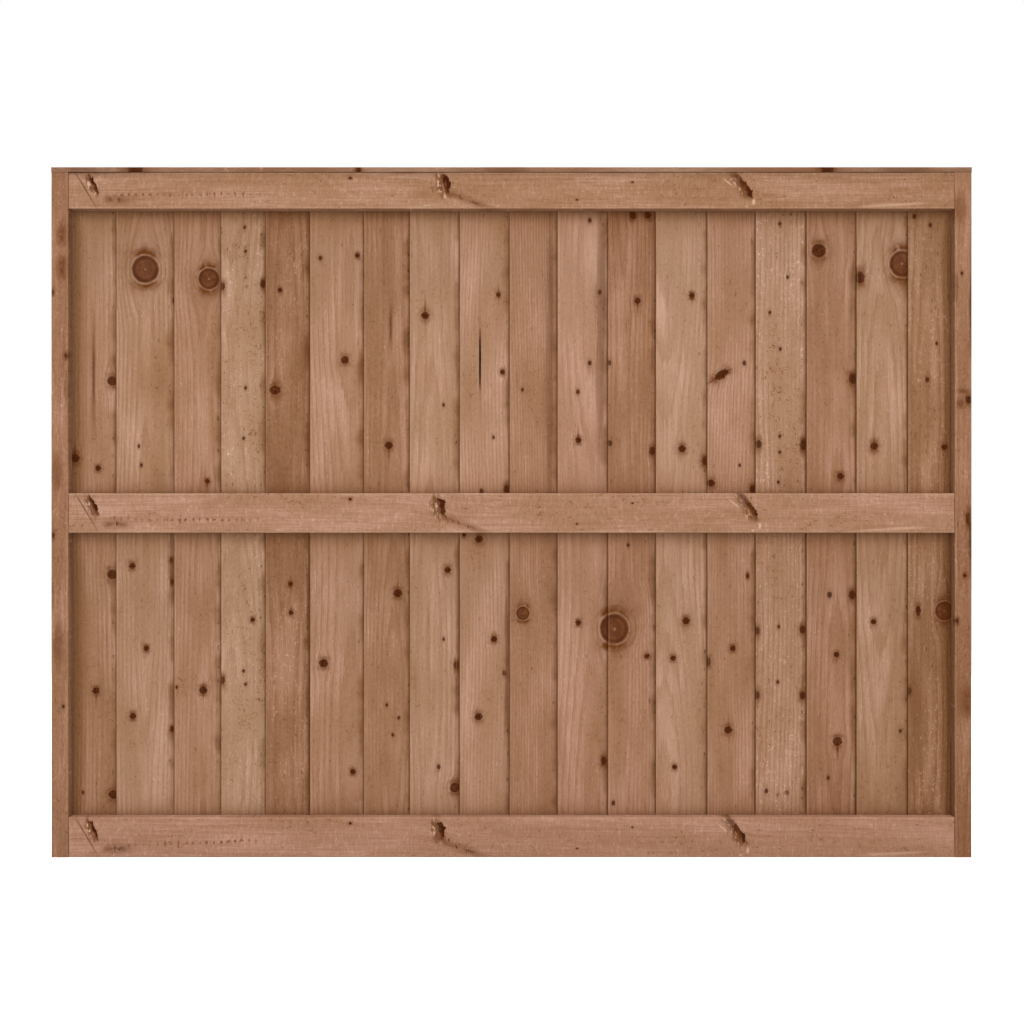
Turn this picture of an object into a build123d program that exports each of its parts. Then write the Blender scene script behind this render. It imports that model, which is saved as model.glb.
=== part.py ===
from build123d import *

import os
from dataclasses import dataclass
from itertools import cycle, islice
from math import asin, atan, atan2, cos, degrees, sin, tan

# Closeboarded timber fence panel.
# Two stiles and three rails make a flat frame. Feather-edge boards stand behind it, each thick edge
# lapping over the next board's thin edge, and a capping strip covers the frame and the boards.
# Millimetres, +Z up, +X along the panel, -Y towards the rail side. The origin is at the middle of
# the underside: halfway along the panel and halfway through the capping strip's depth.

# Panel
PANEL_WIDTH = 1828.0
PANEL_HEIGHT = 1371.0

# Frame of stiles and rails, all of one depth
FRAME_DEPTH = 32.0
STILE_WIDTH = 34.0
STILE_ARRIS = 2.5
TOP_RAIL_HEIGHT = 73.0
MIDDLE_RAIL_HEIGHT = 79.0
BOTTOM_RAIL_HEIGHT = 80.0
RAIL_ARRIS = 4.0

# Feather-edge boards, sawn to a taper
BOARD_WIDTH = 125.0
BOARD_THICK_EDGE = 11.0
BOARD_THIN_EDGE = 5.0
BOARD_EDGE_MARGIN = 12.0
CLOSING_BOARD_RIP = 17.0
BOARD_LAPS = (15, 9, 31, 36, 36, 17, 33, 25, 25, 29, 24, 29, 22, 28, 23, 25, 22)

# Capping strip
CAP_THICKNESS = 10.0
CAP_OVERHANG = 2.0
CAP_ARRIS = 3.0
CAP_END_ARRIS = 1.5

# Galvanised nails, drawn with flat sides so that the many copies stay light
NAIL_SIDES = 8
NAIL_CLEARANCE = 0.05
NAIL_HEAD_THICKNESS = 1.2
BOARD_NAIL_DIAMETER = 2.5
BOARD_NAIL_HEAD = 5.5
BOARD_NAIL_INSET = 43.0
BOARD_NAIL_COVER = 5.0
CAP_NAIL_COUNT = 5
CAP_NAIL_END_DISTANCE = 60.0
CAP_NAIL_COVER = 8.5
FRAME_NAIL_DIAMETER = 3.35
FRAME_NAIL_HEAD = 7.5
FRAME_NAIL_BITE = 41.0
FRAME_NAIL_PLACES = (0.25, 0.75)

# Lengths that follow from the sizes above
BOARD_TAPER = atan((BOARD_THICK_EDGE - BOARD_THIN_EDGE) / BOARD_WIDTH)
UNDER_CAP = PANEL_HEIGHT - CAP_THICKNESS
RAIL_LENGTH = PANEL_WIDTH - 2 * STILE_WIDTH
TOP_RAIL_FOOT = UNDER_CAP - TOP_RAIL_HEIGHT
MIDDLE_RAIL_FOOT = (BOTTOM_RAIL_HEIGHT + TOP_RAIL_FOOT - MIDDLE_RAIL_HEIGHT) / 2
BOARD_NAIL_LENGTH = BOARD_THICK_EDGE + FRAME_DEPTH - BOARD_NAIL_COVER
CAP_NAIL_LENGTH = CAP_THICKNESS + TOP_RAIL_HEIGHT / 2 - CAP_NAIL_COVER
FRAME_NAIL_LENGTH = STILE_WIDTH + FRAME_NAIL_BITE


@dataclass
class Rail:
    name: str
    foot: float
    height: float

    def level(self, share):
        """Height above the ground of a share of the rail's own height."""
        return self.foot + share * self.height


@dataclass
class BoardSeat:
    thin_edge: float
    width: float
    tilt: float = 0.0


@dataclass
class NailKind:
    length: float
    diameter: float
    head: float


RAILS = (
    Rail("top_rail", TOP_RAIL_FOOT, TOP_RAIL_HEIGHT),
    Rail("middle_rail", MIDDLE_RAIL_FOOT, MIDDLE_RAIL_HEIGHT),
    Rail("bottom_rail", 0.0, BOTTOM_RAIL_HEIGHT),
)
BOARD_NAIL = NailKind(BOARD_NAIL_LENGTH, BOARD_NAIL_DIAMETER, BOARD_NAIL_HEAD)
CAP_NAIL = NailKind(CAP_NAIL_LENGTH, BOARD_NAIL_DIAMETER, BOARD_NAIL_HEAD)
FRAME_NAIL = NailKind(FRAME_NAIL_LENGTH, FRAME_NAIL_DIAMETER, FRAME_NAIL_HEAD)


def tilt_on_next(exposure, next_tilt):
    """Tilt of a full board that rests on the back of the board beside it.

    The thin edge of either board stands on the rails, an exposure apart. The next board's back
    starts at its thin edge's far corner and rises by its own tilt and its taper. The board above
    lies on that corner, or its thick edge lies on that back, whichever lifts it more.
    """
    corner_across = exposure - BOARD_THIN_EDGE * sin(next_tilt)
    corner_out = BOARD_THIN_EDGE * cos(next_tilt)
    back_slope = next_tilt + BOARD_TAPER
    drop_to_back = corner_across * sin(back_slope) - corner_out * cos(back_slope)
    tilt_on_back = back_slope - asin(drop_to_back / BOARD_WIDTH)
    return max(tilt_on_back, atan2(corner_out, corner_across))


def board_seats():
    """Seats from left to right: the laps are spread so that the boards just fill their field."""
    field = PANEL_WIDTH - 2 * BOARD_EDGE_MARGIN
    closing_width = BOARD_WIDTH - CLOSING_BOARD_RIP
    mean_exposure = BOARD_WIDTH - sum(BOARD_LAPS) / len(BOARD_LAPS)
    full_boards = max(1, round((field - closing_width) / mean_exposure))
    exposures = [BOARD_WIDTH - lap for lap in islice(cycle(BOARD_LAPS), full_boards)]
    spread = (field - closing_width) / sum(exposures)
    seats = []
    thin_edge = -field / 2
    for exposure in exposures:
        seats.append(BoardSeat(thin_edge, BOARD_WIDTH))
        thin_edge += exposure * spread
    seats.append(BoardSeat(thin_edge, closing_width))
    for seat, beside in reversed(list(zip(seats, seats[1:]))):
        seat.tilt = tilt_on_next(beside.thin_edge - seat.thin_edge, beside.tilt)
    return seats


def thickness(across):
    """Thickness of a board at a distance from its thin edge."""
    return BOARD_THIN_EDGE + across * tan(BOARD_TAPER)


def outer_reach(seat):
    """How far a board's outermost corner stands out from the backs of the rails."""
    return seat.width * sin(seat.tilt) + thickness(seat.width) * cos(seat.tilt)


SEATS = board_seats()
BOARDING_DEPTH = max(outer_reach(seat) for seat in SEATS)
CAP_DEPTH = FRAME_DEPTH + BOARDING_DEPTH + 2 * CAP_OVERHANG
FRAME_FRONT = -CAP_DEPTH / 2 + CAP_OVERHANG
FRAME_BACK = FRAME_FRONT + FRAME_DEPTH
FRAME_MIDDLE = (FRAME_FRONT + FRAME_BACK) / 2


def square_timber(x, y, z, along, arris):
    """A sawn timber from one corner to another, its long edges eased by the arris."""
    timber = Pos(*(sum(span) / 2 for span in (x, y, z))) * Box(x[1] - x[0], y[1] - y[0], z[1] - z[0])
    return fillet(timber.edges().filter_by(along), arris)


def stile(side):
    """Side batten at the panel's end, side -1 for the left one and 1 for the right one."""
    outer = side * PANEL_WIDTH / 2
    inner = side * RAIL_LENGTH / 2
    across = (min(outer, inner), max(outer, inner))
    return square_timber(across, (FRAME_FRONT, FRAME_BACK), (0, UNDER_CAP), Axis.Z, STILE_ARRIS)


def rail_timber(rail):
    """Rail between the stiles."""
    across = (-RAIL_LENGTH / 2, RAIL_LENGTH / 2)
    upright = (rail.foot, rail.foot + rail.height)
    return square_timber(across, (FRAME_FRONT, FRAME_BACK), upright, Axis.X, RAIL_ARRIS)


def cap_strip():
    """Flat strip over the frame and the boards, its upper arrises rounded."""
    strip = Pos(0, 0, UNDER_CAP) * Box(
        PANEL_WIDTH, CAP_DEPTH, CAP_THICKNESS, align=(Align.CENTER, Align.CENTER, Align.MIN)
    )
    top = strip.faces().sort_by(Axis.Z)[-1]
    strip = fillet(top.edges().filter_by(Axis.X), CAP_ARRIS)
    return fillet(strip.edges().filter_by(Axis.Z), CAP_END_ARRIS)


def board_place(seat):
    """Place of a board: its thin edge's near corner on the rails' backs, turned by its tilt."""
    return Pos(seat.thin_edge, FRAME_BACK, 0) * Rot(0, 0, degrees(seat.tilt))


def board(seat):
    """Tapered board, standing on end under the cap."""
    corners = ((0, 0), (seat.width, 0), (seat.width, thickness(seat.width)), (0, BOARD_THIN_EDGE))
    return board_place(seat) * extrude(Polygon(*corners, align=None), UNDER_CAP)


def nail(kind):
    """Nail driven along -Z, the outside of its head at the origin and its point at its length."""
    point_length = 2 * kind.diameter
    shank_section = RegularPolygon(kind.diameter / 2, NAIL_SIDES, major_radius=False)
    head_section = RegularPolygon(kind.head / 2, NAIL_SIDES, major_radius=False)
    head = extrude(head_section, -NAIL_HEAD_THICKNESS)
    shank = Pos(0, 0, -NAIL_HEAD_THICKNESS) * extrude(
        shank_section, -(kind.length - NAIL_HEAD_THICKNESS - point_length)
    )
    point = loft([Pos(0, 0, point_length - kind.length) * shank_section, Vertex(0, 0, -kind.length)])
    return head + shank + point


def nail_hole(kind):
    """What a nail takes out of the timber: its shank's hole, and room for its head above that."""
    shank_section = RegularPolygon(kind.diameter / 2 + NAIL_CLEARANCE, NAIL_SIDES, major_radius=False)
    head_section = RegularPolygon(kind.head / 2 + NAIL_CLEARANCE, NAIL_SIDES, major_radius=False)
    return extrude(head_section, -NAIL_HEAD_THICKNESS) + extrude(shank_section, -kind.length)


def board_nail_places(seat):
    """Nails through one board, on its back near the thick edge and square to that face."""
    across = seat.width - BOARD_NAIL_INSET
    on_back = board_place(seat) * Pos(across, thickness(across), 0) * Rot(0, 0, degrees(BOARD_TAPER))
    return [
        on_back * Pos(0, NAIL_HEAD_THICKNESS, rail.level(0.5)) * Rot(-90, 0, 0) for rail in RAILS
    ]


def frame_nail_places(side, rail):
    """Nails through one stile into the end of one rail, their heads flush in the outer face."""
    return [
        Pos(side * PANEL_WIDTH / 2, FRAME_MIDDLE, rail.level(share)) * Rot(0, side * 90, 0)
        for share in FRAME_NAIL_PLACES
    ]


def cap_nail_places():
    """Nails down through the cap into the top rail, evenly spaced and flush."""
    reach = RAIL_LENGTH / 2 - CAP_NAIL_END_DISTANCE
    step = 2 * reach / (CAP_NAIL_COUNT - 1)
    return [Pos(-reach + i * step, FRAME_MIDDLE, PANEL_HEIGHT) for i in range(CAP_NAIL_COUNT)]


def drilled(timber, kind, places):
    """A timber with the holes of the nails that pass through or into it."""
    return timber - [place * nail_hole(kind) for place in places]


def build_panel():
    """Every node of the panel by its name."""
    on_boards = [board_nail_places(seat) for seat in SEATS]
    on_cap = cap_nail_places()
    nodes = {}
    for side, name in ((-1, "left_stile"), (1, "right_stile")):
        places = [place for rail in RAILS for place in frame_nail_places(side, rail)]
        nodes[name] = drilled(stile(side), FRAME_NAIL, places)
    for number, rail in enumerate(RAILS):
        ends = [place for side in (-1, 1) for place in frame_nail_places(side, rail)]
        timber = drilled(rail_timber(rail), FRAME_NAIL, ends)
        timber = drilled(timber, BOARD_NAIL, [places[number] for places in on_boards])
        if rail.name == "top_rail":
            timber = drilled(timber, CAP_NAIL, on_cap)
        nodes[rail.name] = timber
    nodes["cap_strip"] = drilled(cap_strip(), CAP_NAIL, on_cap)
    for number, (seat, places) in enumerate(zip(SEATS, on_boards), start=1):
        nodes[f"board_{number:02d}"] = drilled(board(seat), BOARD_NAIL, places)
    all_frame_places = [
        place for side in (-1, 1) for rail in RAILS for place in frame_nail_places(side, rail)
    ]
    all_board_places = [place for places in on_boards for place in places]
    for name, kind, places in (
        ("frame_nails", FRAME_NAIL, all_frame_places),
        ("board_nails", BOARD_NAIL, all_board_places),
        ("cap_nails", CAP_NAIL, on_cap),
    ):
        single = nail(kind)
        nodes[name] = Compound([place * single for place in places])
    return nodes


os.makedirs("parts", exist_ok=True)
for node_name, shape in build_panel().items():
    export_step(shape, f"parts/{node_name}.step")
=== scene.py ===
from dataclasses import dataclass
from math import atan2, cos, hypot, pi, radians, sin

import bmesh
import bpy
import numpy as np
from mathutils import Matrix, Vector


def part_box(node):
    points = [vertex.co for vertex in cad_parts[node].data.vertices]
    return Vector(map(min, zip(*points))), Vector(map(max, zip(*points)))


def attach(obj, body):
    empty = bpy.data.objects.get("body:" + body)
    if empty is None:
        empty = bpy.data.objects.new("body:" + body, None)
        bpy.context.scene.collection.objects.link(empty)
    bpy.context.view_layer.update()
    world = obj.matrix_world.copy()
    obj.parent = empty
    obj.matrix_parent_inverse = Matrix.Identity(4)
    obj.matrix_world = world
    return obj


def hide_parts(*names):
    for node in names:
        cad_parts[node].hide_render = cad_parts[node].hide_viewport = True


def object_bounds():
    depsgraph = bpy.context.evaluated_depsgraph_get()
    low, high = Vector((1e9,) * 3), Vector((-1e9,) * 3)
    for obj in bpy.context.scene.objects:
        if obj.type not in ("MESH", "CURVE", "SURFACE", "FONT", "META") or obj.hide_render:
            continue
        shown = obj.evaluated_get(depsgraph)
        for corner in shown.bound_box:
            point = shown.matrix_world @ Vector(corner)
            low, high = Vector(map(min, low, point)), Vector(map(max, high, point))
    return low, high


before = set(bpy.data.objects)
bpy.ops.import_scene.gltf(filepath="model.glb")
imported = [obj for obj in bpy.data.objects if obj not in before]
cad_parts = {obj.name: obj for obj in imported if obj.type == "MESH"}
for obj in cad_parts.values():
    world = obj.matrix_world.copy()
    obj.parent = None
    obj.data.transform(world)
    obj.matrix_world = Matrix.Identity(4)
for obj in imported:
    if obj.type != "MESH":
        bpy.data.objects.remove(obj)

bl_info = {
    "name": "Closeboarded Fence Panel",
    "version": (1, 0, 0),
    "blender": (4, 5, 0),
    "location": "3D View > Sidebar > Fence panel",
    "description": "Saws, knots, stains and nails one closeboarded fence panel on its packed frame",
    "category": "Object",
}

CAD_LOW, CAD_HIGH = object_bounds()
MM = 0.001
BOARD_NAMES = sorted(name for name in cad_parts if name.startswith(("board_0", "board_1")))
RAIL_NAMES = ("top_rail", "middle_rail", "bottom_rail")
STILE_NAMES = ("left_stile", "right_stile")


def stain(red, green, blue):
    """A colour as read on a screen, turned into the scene's linear values."""
    shares = (red / 255, green / 255, blue / 255)
    return tuple(s / 12.92 if s <= 0.04045 else ((s + 0.055) / 1.055) ** 2.4 for s in shares)


def rgba(colour):
    """A colour with full opacity, as node sockets take it."""
    return (*colour, 1.0)


# Knots and scars, set out as a joiner would note them on each timber, in millimetres


@dataclass
class Mark:
    """A knot, split or smudge: its place across and along a timber, its half width and its tails."""

    kind: str
    across: float
    along: float
    size: float
    stretch: float = 1.0
    turn: float = 0.0
    up: float = 0.0
    down: float = 0.0


@dataclass
class Form:
    """How dark a kind of mark is (pale below 0), how ringed (torn below 0), its halo and its height."""

    depth: float
    ring: float
    halo: float
    tall: float = 1.0


MARK_FORMS = {
    "big": Form(0.9, 1.0, 0.8, tall=1.04),
    "round": Form(0.95, 0.5, 0.8, tall=0.94),
    "small": Form(1.0, 0.35, 0.8, tall=0.88),
    "pin": Form(0.88, 0.0, 0.4, tall=1.2),
    "edge": Form(0.9, 0.0, 0.9, tall=1.2),
    "ring": Form(0.6, 1.0, 0.5),
    "smudge": Form(0.15, 0.0, 0.7),
    "split": Form(1.3, 0.0, 0.3),
    "streak": Form(0.5, 0.0, 0.6),
    "torn": Form(0.98, -1.0, 1.6),
    "shade": Form(0.55, -0.6, 0.9),
    "band": Form(0.42, -0.25, 0.2),
    "trail": Form(0.75, 0.0, 0.6),
    "crack": Form(0.6, 0.0, 0.3),
    "fleck": Form(-1.0, 0.0, 0.0),
    "sliver": Form(-0.5, 0.0, 0.0),
}

SCAR_KINDS = ("split", "streak", "smudge", "band")


def several(kind, *places):
    """Plain marks of one kind, each by its place across and along and its half width."""
    return [Mark(kind, *place) for place in places]


BOARD_MARKS = {
    "board_01": (
        *several("round", (101, 949, 10), (101, 561, 10), (103, 119, 9)),
        Mark("small", 27, 794, 9, up=0.6),
        Mark("small", 69, 328, 7, down=0.8),
        Mark("small", 73, 774, 6),
        Mark("pin", 43, 124, 3),
        Mark("streak", 64, 960, 3, stretch=20),
    ),
    "board_02": (
        Mark("big", 58, 1173, 26),
        *several("small", (32, 578, 7), (60, 413, 6), (33, 277, 7)),
        *several("pin", (45, 818, 3), (50, 780, 3)),
        *several("edge", (116, 1111, 4), (109, 590, 3.5), (111, 546, 3.5), (111, 251, 4)),
        Mark("band", 109, 592, 6, stretch=11),
    ),
    "board_03": (
        Mark("big", 69, 1154, 20),
        Mark("small", 66, 748, 5, down=0.8),
        Mark("small", 58, 329, 8, up=0.3, down=0.4),
        Mark("pin", 5, 335, 3),
    ),
    "board_04": (
        *several("edge", (2, 1138, 6), (84, 1144, 6), (2, 349, 6)),
        *several("pin", (47, 1257, 3), (49, 1209, 3), (49, 1155, 3), (51, 1139, 3), (49, 935, 3)),
        *several("pin", (45, 834, 3), (45, 367, 3), (49, 341, 3)),
        Mark("small", 63, 470, 5),
    ),
    "board_05": (
        Mark("small", 29, 1131, 5),
        Mark("small", 19, 930, 10, up=0.5),
        Mark("small", 50, 542, 5, down=0.6),
        Mark("small", 51, 484, 5, up=0.6),
        Mark("band", 86, 380, 6, stretch=40),
    ),
    "board_06": (
        Mark("pin", 21, 1195, 4),
        *several("small", (95, 1201, 5), (70, 991, 8), (27, 383, 9), (86, 165, 6)),
    ),
    "board_07": (
        Mark("streak", 54, 1056, 3, stretch=8),
        Mark("small", 50, 820, 8, down=1.0),
        Mark("small", 68, 523, 9, up=0.6),
        *several("pin", (46, 299, 3), (70, 273, 3), (58, 239, 3)),
    ),
    "board_08": (
        Mark("small", 31, 1080, 8, up=1.0, down=0.4),
        *several("pin", (68, 901, 3), (68, 431, 3), (58, 175, 4)),
        Mark("small", 76, 570, 7),
        Mark("edge", 94, 379, 6),
        Mark("band", 97, 480, 4, stretch=34),
        Mark("round", 91, 133, 10),
    ),
    "board_09": (
        Mark("split", 41, 990, 2.1, stretch=28),
        Mark("band", 94, 400, 4, stretch=40),
        Mark("small", 78, 1122, 5, up=0.7, down=0.4),
        *several("small", (86, 967, 5.5), (39, 632, 8), (9, 640, 4), (69, 431, 6.5), (38, 276, 8)),
        *several("pin", (68, 836, 3), (44, 728, 4), (90, 363, 4)),
        Mark("edge", 94, 732, 6),
    ),
    "board_10": (
        Mark("pin", 26, 931, 3),
        Mark("big", 27, 483, 13),
        Mark("band", 81, 1010, 8, stretch=36),
    ),
    "board_11": (
        *several("pin", (65, 1271, 4), (85, 1127, 4), (65, 985, 4), (41, 927, 4)),
        Mark("small", 42, 830, 6.5, up=0.8),
        Mark("small", 42, 464, 6),
        Mark("edge", 93, 187, 6),
        Mark("big", 114, 452, 28),
        Mark("band", 86, 1060, 10, stretch=24),
    ),
    "board_12": (
        *several("small", (52, 1281, 8), (80, 1282, 8)),
        Mark("small", 60, 1110, 6.5, down=0.9),
        Mark("small", 79, 397, 6, stretch=0.8, turn=30),
        *several("pin", (3, 985, 4), (4, 824, 5), (11, 103, 4), (41, 620, 3)),
        Mark("edge", 90, 809, 6),
        Mark("big", 13, 452, 28),
    ),
    "board_13": (
        Mark("small", 73, 1120, 6, up=0.5, down=0.4),
        Mark("small", 53, 813, 8, up=0.3),
        Mark("edge", 99, 788, 6),
        *several("small", (61, 468, 8), (35, 393, 6), (38, 175, 5.5)),
    ),
    "board_14": (
        Mark("small", 29, 961, 8, stretch=2.1, turn=-58, up=0.5, down=0.5),
        Mark("small", 43, 249, 8, up=0.6),
        *several("pin", (75, 985, 4), (66, 780, 3)),
        *several("small", (8, 744, 8), (52, 413, 6)),
        *several("edge", (92, 732, 6), (82, 558, 3.5), (1, 386, 6)),
    ),
    "board_15": (
        *several("pin", (49, 1264, 3), (65, 1157, 3), (29, 1086, 3), (50, 1013, 3), (49, 838, 3)),
        *several("pin", (49, 806, 3), (46, 746, 3), (47, 456, 3), (45, 345, 3), (45, 119, 3)),
        *several("pin", (63, 123, 4), (22, 127, 4)),
        *several("edge", (6, 822, 6), (97, 821, 8), (95, 450, 6), (95, 318, 6), (2, 448, 6)),
        Mark("edge", 2, 319, 6),
    ),
    "board_16": (
        Mark("round", 25, 1210, 14),
        *several("edge", (94, 954, 8), (93, 520, 7)),
        Mark("small", 69, 758, 7),
        *several("pin", (47, 520, 5), (44, 153, 3)),
        Mark("small", 61, 400, 6, down=0.5),
        Mark("round", 63, 226, 9.5, down=1.0),
    ),
    "board_17": (
        Mark("edge", 7, 1156, 9),
        Mark("big", 93, 1184, 25),
        Mark("small", 36, 818, 8, up=0.5),
        Mark("small", 35, 466, 6),
        Mark("pin", 89, 247, 3),
    ),
    "board_18": (
        *several("pin", (13, 1278, 4), (45, 1261, 3.5), (58, 1024, 3), (39, 951, 4)),
        Mark("small", 73, 816, 6),
        Mark("small", 21, 488, 5, stretch=2.2),
        Mark("big", 73, 488, 18),
        Mark("edge", 1, 327, 6),
    ),
}


def rail_knots(height, shift, right):
    """Knots, torn knots and clean chips of a rail, by its height and how far its own ones are shifted."""
    return (
        Mark("crack", height - 34, 34, 1.3, stretch=29, turn=59),
        Mark("torn", height - 26, 747 + shift, 11, stretch=1.8, turn=74),
        Mark("torn", height - 36, 1344 + right, 9.5, stretch=2.2, turn=59),
        Mark("fleck", height - 22, 1312 + right, 1.4, stretch=11, turn=38),
        Mark("fleck", 5, 1347 + right, 2.2, stretch=1.3),
        Mark("small", height - 12, 560, 3),
        Mark("pin", height - 20, 1120, 2),
        Mark("pin", 18, 1010, 2),
        Mark("sliver", 8, 1640, 3.2, stretch=22, turn=-3),
    )


def rail_scars(height, shift, right):
    """The shade, the trails and the pale chip beside them."""
    return (
        Mark("torn", height - 25, 48, 7, stretch=2.6, turn=63),
        Mark("trail", 18, 93, 6, stretch=2.4),
        Mark("trail", 18.5, 790 + shift, 5, stretch=5.5, turn=20),
        Mark("shade", height - 14, 1328 + right, 8, stretch=2.3, turn=55),
        Mark("fleck", 14, 1361 + right, 3.4, stretch=1.9, turn=96),
    )


RAIL_SHIFTS = {"top_rail": (0, 0), "middle_rail": (-10, 12), "bottom_rail": (-10, -12)}

STILE_KNOTS = {
    "left_stile": (
        Mark("smudge", 22, 1236, 7, stretch=2),
        Mark("smudge", 22, 1172, 7, stretch=2.2),
        Mark("smudge", 10, 760, 8, stretch=2),
        Mark("smudge", 14, 420, 7, stretch=3),
        *several("edge", (2, 1122, 4), (30, 996, 4), (3, 640, 4)),
        Mark("pin", 24, 300, 3),
    ),
    "right_stile": (
        Mark("edge", 28, 909, 7, stretch=0.8),
        Mark("edge", 28, 672, 6, stretch=1.6),
        Mark("smudge", 26, 310, 9, stretch=1.8),
        Mark("smudge", 8, 1290, 8, stretch=1.6),
        Mark("small", 20, 560, 4),
        Mark("edge", 4, 470, 4),
        Mark("pin", 14, 1160, 3),
    ),
}
STILE_SCARS = {
    "left_stile": (
        Mark("band", 30, 930, 4, stretch=9),
        Mark("band", 2, 520, 4, stretch=8),
    ),
    "right_stile": (
        Mark("ring", 11, 903, 8),
        Mark("streak", 16, 925, 5, stretch=1.8, turn=90),
        Mark("edge", 33, 1100, 3, stretch=16),
        Mark("edge", 33, 628, 4, stretch=8),
        Mark("band", 3, 1130, 4, stretch=8),
    ),
}
CAP_KNOTS = (
    Mark("edge", 1, 168, 7, stretch=1.6),
    Mark("band", 1, 60, 6, stretch=5),
    Mark("edge", 1, 610, 4),
    Mark("band", 1, 900, 5, stretch=9),
    Mark("small", 22, 420, 7),
    Mark("small", 36, 1310, 8),
    Mark("edge", 1, 1540, 5, stretch=2),
    Mark("band", 1, 1690, 6, stretch=8),
)


@dataclass
class Stock:
    """What a timber was sawn from: its tone, its change of tone upwards, its pith and its saw curls. The
    tones are partly painted light.
    """

    paleness: float
    redness: float = 0.0
    fade: float = 0.15
    pith_across: float = 60.0
    pith_out: float = 45.0
    ring_pitch: float = 7.0
    curly: float = 0.8


# The tones below were fitted to the lit timbers, so they hold painted light: the bottom rail is made
# paler to make up for the light falling off towards the foot, and each board's change of tone upwards
# takes in some of that falloff.
BOARD_STOCK = {
    "board_01": Stock(0.48, -0.31, 0.55, 150, 50),
    "board_02": Stock(0.42, -0.53, -0.37, 58, 30),
    "board_03": Stock(0.3, -0.21, -0.13, 60, 35),
    "board_04": Stock(0.7, -0.73, -0.22, 20, 90, 6, 2.0),
    "board_05": Stock(-0.26, -0.42, -0.1, 40, 60, curly=1.7),
    "board_06": Stock(0.5, -0.24, 0.27, 80, 80),
    "board_07": Stock(0.0, -0.38, -0.24, 60, 45, 6),
    "board_08": Stock(0.67, -0.45, 0.02, 40, 40),
    "board_09": Stock(0.7, -0.11, 0.14, 160, 60, 6),
    "board_10": Stock(0.27, -0.07, 0.13, -60, 60, 5),
    "board_11": Stock(0.84, 0.19, 0.67, 70, 70),
    "board_12": Stock(-0.06, 0.28, -0.88, 30, 25),
    "board_13": Stock(0.85, -0.39, 0.3, 20, 80, 6),
    "board_14": Stock(0.47, 0.03, 0.29, 140, 50, 6),
    "board_15": Stock(0.68, -0.46, 0.5, -40, 80, curly=2.4),
    "board_16": Stock(0.27, 0.06, 0.41, 60, 50),
    "board_17": Stock(0.52, -0.59, 0.32, 50, 60),
    "board_18": Stock(-0.03, -0.75, 0.72, 40, 35, curly=2.2),
}
RAIL_STOCK = {
    "top_rail": Stock(0.19, -0.29, -0.1, 30, 120, 8, 1.4),
    "middle_rail": Stock(0.45, 0.15, -0.08, 30, 120, 8, 1.4),
    "bottom_rail": Stock(0.56, 0.54, -0.01, 30, 120, 8, 1.4),
}
STILE_STOCK = {
    "left_stile": Stock(-0.09, 0.18, -0.19, 15, 60, 5, 1.5),
    "right_stile": Stock(-0.02, 0.32, 0.6, 15, 60, 5, 1.5),
}
CAP_STOCK = Stock(-0.75, 0.3, fade=-0.3, pith_across=30, pith_out=60, ring_pitch=6)


# Sizes, stains and stage that a user may change


def length(label, words, millimetres):
    """A length property with its default given in millimetres."""
    return bpy.props.FloatProperty(
        name=label, description=words, default=millimetres * MM, min=0.0, unit="LENGTH", precision=5
    )


def share(label, words, value):
    """A plain number property."""
    return bpy.props.FloatProperty(name=label, description=words, default=value)


def colour(label, words, value):
    """A colour property."""
    return bpy.props.FloatVectorProperty(
        name=label, description=words, default=value, subtype="COLOR", size=3, min=0.0, max=1.0
    )


class FencePanelSawing(bpy.types.PropertyGroup):
    """Sizes that the saw and the plane leave on the timbers."""

    cell: length("Cell", "Length of one face of a timber's mesh", 6.0)
    wander: length("Wander", "How far a sawn face strays inwards", 0.3)
    wander_length: length("Wander length", "Length of one stray of a sawn face", 45.0)
    board_arris: length("Board arris", "Easing of a board's edges", 0.7)
    rail_arris: length("Rail arris", "Rounding of a rail's long edges", 2.2)
    stile_arris: length("Stile arris", "Rounding of a stile's long edges", 2.5)
    cap_arris: length("Cap arris", "Rounding of the cap's upper edges", 3.0)


class FencePanelStain(bpy.types.PropertyGroup):
    """Colours of the treated softwood."""

    pale: colour("Pale wood", "Stained sapwood", stain(177, 138, 113))
    dark: colour("Dark wood", "Stained heartwood", stain(155, 113, 85))
    deep: colour("Deep wood", "Heartwood where the stain lies thickest", stain(127, 84, 56))
    tint: colour("Red tint", "What redder wood takes from the stain", (1.0, 0.94, 0.97))
    knot: colour("Knot", "Heart of a knot", stain(98, 53, 24))
    rim: colour("Knot rim", "Dark outline of a knot and small resin spots", stain(64, 22, 0))
    halo: colour("Halo", "Resinous wood about a knot", stain(106, 60, 26))
    ring: colour("Ring", "Pale ring about a knot", stain(192, 155, 126))
    chip: colour("Chip", "Torn fibres and clean chips", stain(198, 161, 132))
    split: colour("Split", "Inside of a split", stain(28, 16, 6))
    # The next two colours are painted shade: a dark brown laid in the corners and under the rails, and a
    # warm tint that deepens it where it is thickest.
    shade_colour: colour("Soil", "Stain gathered in the corners", stain(78, 36, 4))
    damp: colour("Damp", "What wood in the corners takes from the damp", (1.0, 0.93, 0.78))
    dust: colour("Dust", "Dust on the cap", stain(146, 122, 104))


class FencePanelNails(bpy.types.PropertyGroup):
    """Sizes of the nails, as drilled in the frame."""

    board_head: length("Board nail head", "Diameter of a board nail's head", 5.5)
    board_shank: length("Board nail shank", "Diameter of a board nail", 2.5)
    frame_head: length("Frame nail head", "Diameter of a frame nail's head", 7.5)
    frame_shank: length("Frame nail shank", "Diameter of a frame nail", 3.35)
    head_thickness: length("Head thickness", "Thickness of a nail's head", 1.2)
    sides: bpy.props.IntProperty(
        name="Sides", description="Flat sides of a nail's mesh", default=12, min=6
    )


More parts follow.
